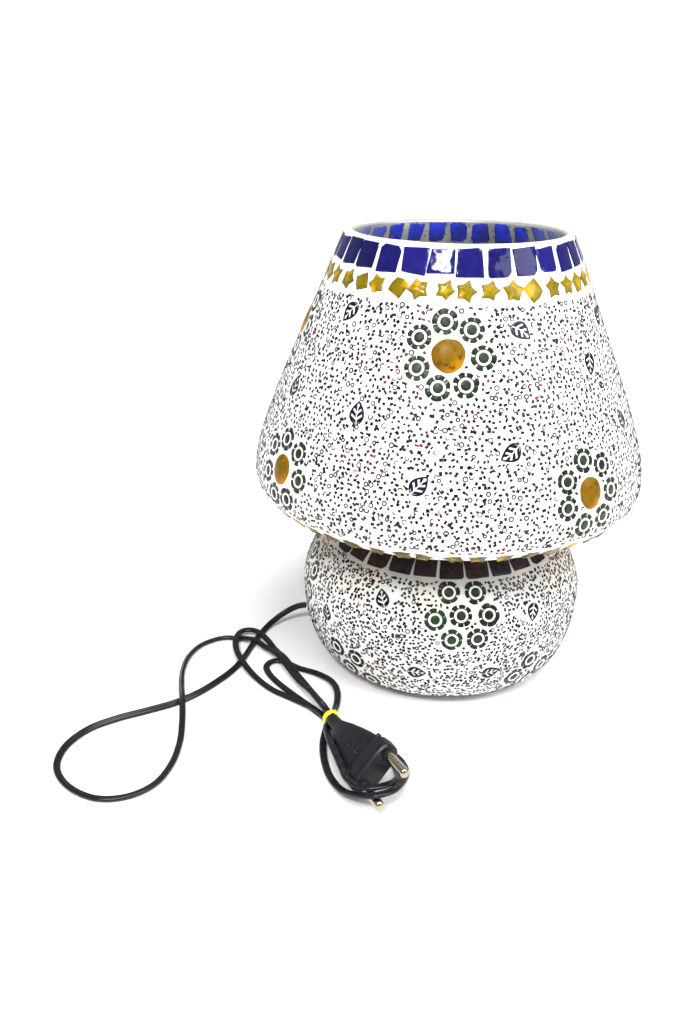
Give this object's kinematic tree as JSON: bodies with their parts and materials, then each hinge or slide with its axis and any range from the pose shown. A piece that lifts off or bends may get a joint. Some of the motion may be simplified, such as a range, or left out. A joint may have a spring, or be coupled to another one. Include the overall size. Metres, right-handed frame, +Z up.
{
  "type": "table lamp",
  "caption": "Mushroom-shaped table lamp of blown glass with mosaic bands and flowers in white cement, open at the top over a screw-in bulb, with a tied mains cord and two-pin plug.",
  "frame": {"origin": "the middle of the felt pad's underside, on the table", "axes": "+Z up along the lamp's axis, -Y to the front that the picture shows, +X to the right of that view; the cord leaves on the -X side"},
  "size_m": [0.299, 0.2798, 0.25],
  "materials": {
    "amber_glass": "amber cabochon",
    "black_felt": "felt",
    "brown_glass": "near black, glossy",
    "cap_aluminium": "rolled",
    "clear_glass": "clear, slightly grey",
    "contact_brass": "plain",
    "cord_pvc": "satin black PVC",
    "holder_ceramic": "unglazed steatite",
    "holder_plastic": "black phenolic",
    "mustard_glass": "opaque, glossy",
    "navy_glass": "cobalt blue, glossy",
    "pin_nickel": "nickel plated brass",
    "seal_rubber": "matte",
    "tie_plastic": "yellow tie",
    "white_cement": "fine white cement with dark glass chips",
    "white_plastic": "opal white",
    "zinc_steel": "zinc plated"
  },
  "bodies": {
    "lamp": {"clamp_washer": "zinc_steel", "cord_grommet": "seal_rubber", "cord_hank": "cord_pvc", "cord_hank_loop": "cord_pvc", "cord_lead": "cord_pvc", "cord_plug_loop": "cord_pvc", "cord_tie": "tie_plastic", "felt_base_pad": "black_felt", "gem_high_1": "amber_glass", "gem_high_2": "amber_glass", "gem_high_3": "amber_glass", "gem_high_4": "amber_glass", "gem_low_1": "amber_glass", "gem_low_2": "amber_glass", "gem_low_3": "amber_glass", "gem_low_4": "amber_glass", "glass_body": "clear_glass", "holder_cap": "holder_plastic", "holder_insert": "holder_ceramic", "holder_shell": "holder_plastic", "inner_lead": "cord_pvc", "locknut": "zinc_steel", "lower_star_band": "mustard_glass", "neck_tile_band": "brown_glass", "plug_body": "cord_pvc", "plug_pin_1": "pin_nickel", "plug_pin_2": "pin_nickel", "pot_grout": "white_cement", "rim_tile_band": "navy_glass", "screw_sleeve": "contact_brass", "seat_washer": "seal_rubber", "shade_grout": "white_cement", "side_contact": "contact_brass", "terminal_screw_1": "contact_brass", "terminal_screw_2": "contact_brass", "threaded_nipple": "zinc_steel", "upper_star_band": "mustard_glass"},
    "bulb": {"bulb_cap": "cap_aluminium", "bulb_dome": "white_plastic", "bulb_housing": "white_plastic", "bulb_tip": "holder_plastic", "led_board": "white_plastic"},
    "tongue": {"contact_tongue": "contact_brass"}
  },
  "joints": [
    {"name": "bulb_lift", "type": "slide", "parent": "lamp", "child": "bulb", "axis": [0, 0, 1], "range_m": [0, 0.22]},
    {"name": "contact_press", "type": "hinge", "parent": "lamp", "child": "tongue", "pos_m": [0.0065, 0, 0.0383], "axis": [0, 1, 0], "range_deg": [-14, 0], "stiffness_Nm_per_rad": 0.05}
  ]
}
